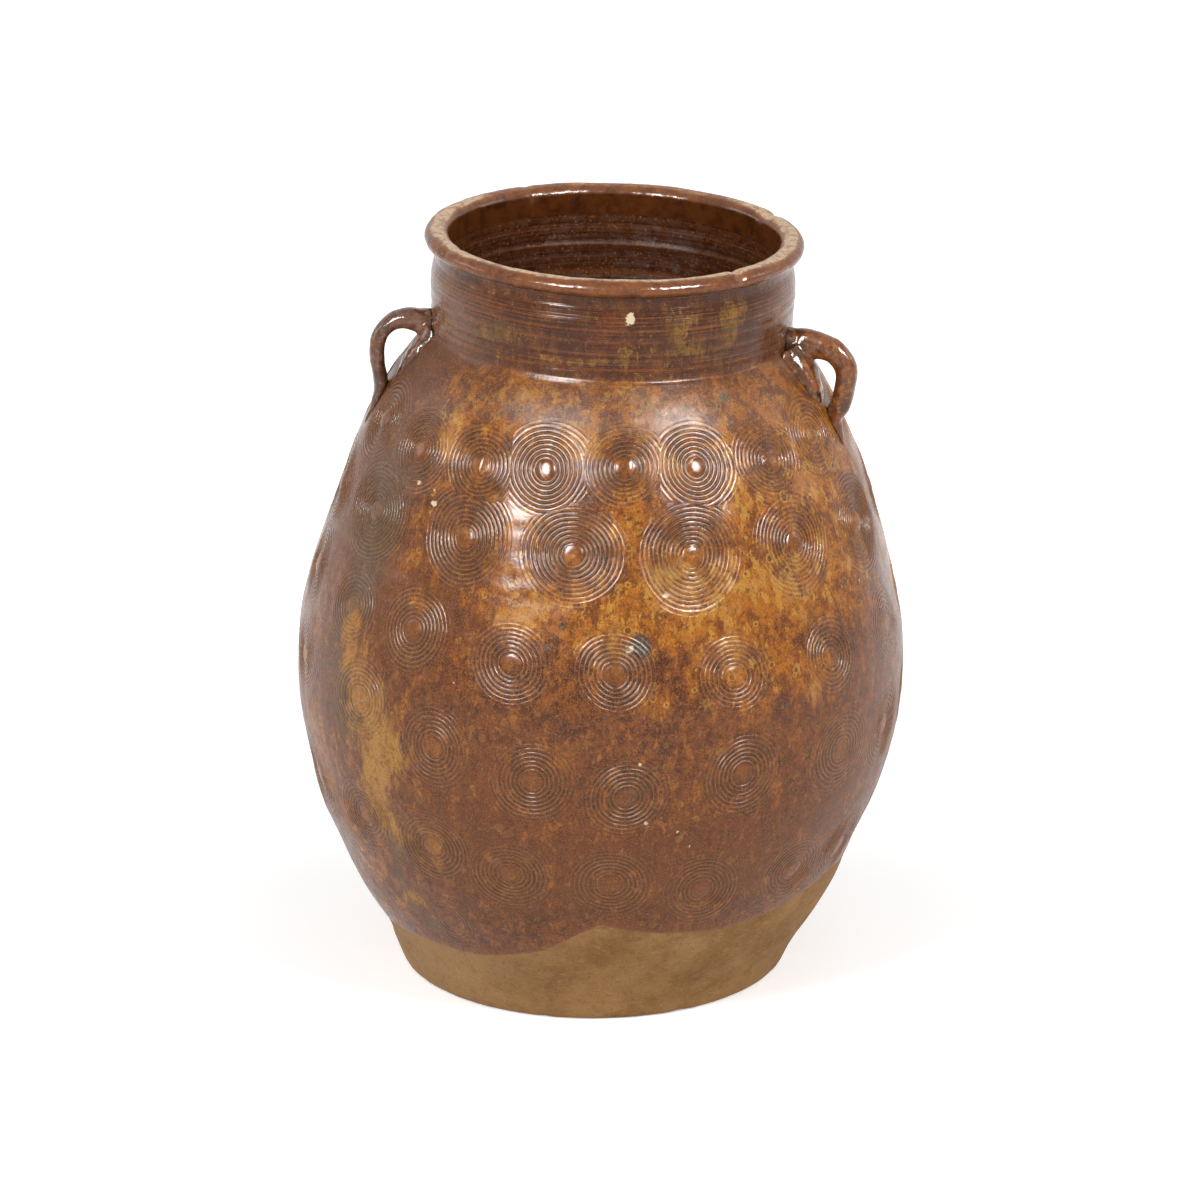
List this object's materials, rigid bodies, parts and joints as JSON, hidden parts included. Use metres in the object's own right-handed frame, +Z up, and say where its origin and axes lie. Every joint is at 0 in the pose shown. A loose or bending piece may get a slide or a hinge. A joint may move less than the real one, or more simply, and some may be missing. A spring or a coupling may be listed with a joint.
{
  "type": "martaban storage jar",
  "caption": "Tall glazed stoneware storage jar with a swelling body, a short neck, a rolled rim and strap loops on the shoulder.",
  "frame": {"origin": "centre of the foot, on the ground the jar stands on", "axes": "+Z up, square to the foot; the pictured front faces -Y; +X is to the right as pictured, which is the way the jar leans"},
  "size_m": [0.4011, 0.4008, 0.5034],
  "materials": {
    "bare_clay": "unglazed fired stoneware, buff brown with iron stains",
    "glazed_body": "runny iron glaze, amber over reddish brown, half gloss",
    "glazed_neck": "iron glaze over wheel lines, dark brown",
    "worn_rim": "iron glaze, rubbed through to pale clay along the crest",
    "glazed_handle": "iron glaze over hand-rolled clay, dark brown"
  },
  "bodies": {
    "root": {"floor_disc": "bare_clay", "lower_wall": "glazed_body", "belly_wall": "glazed_body", "shoulder_wall": "glazed_body", "neck_collar": "glazed_neck", "rolled_rim": "worn_rim", "left_handle": "glazed_handle", "right_handle": "glazed_handle"}
  },
  "joints": []
}
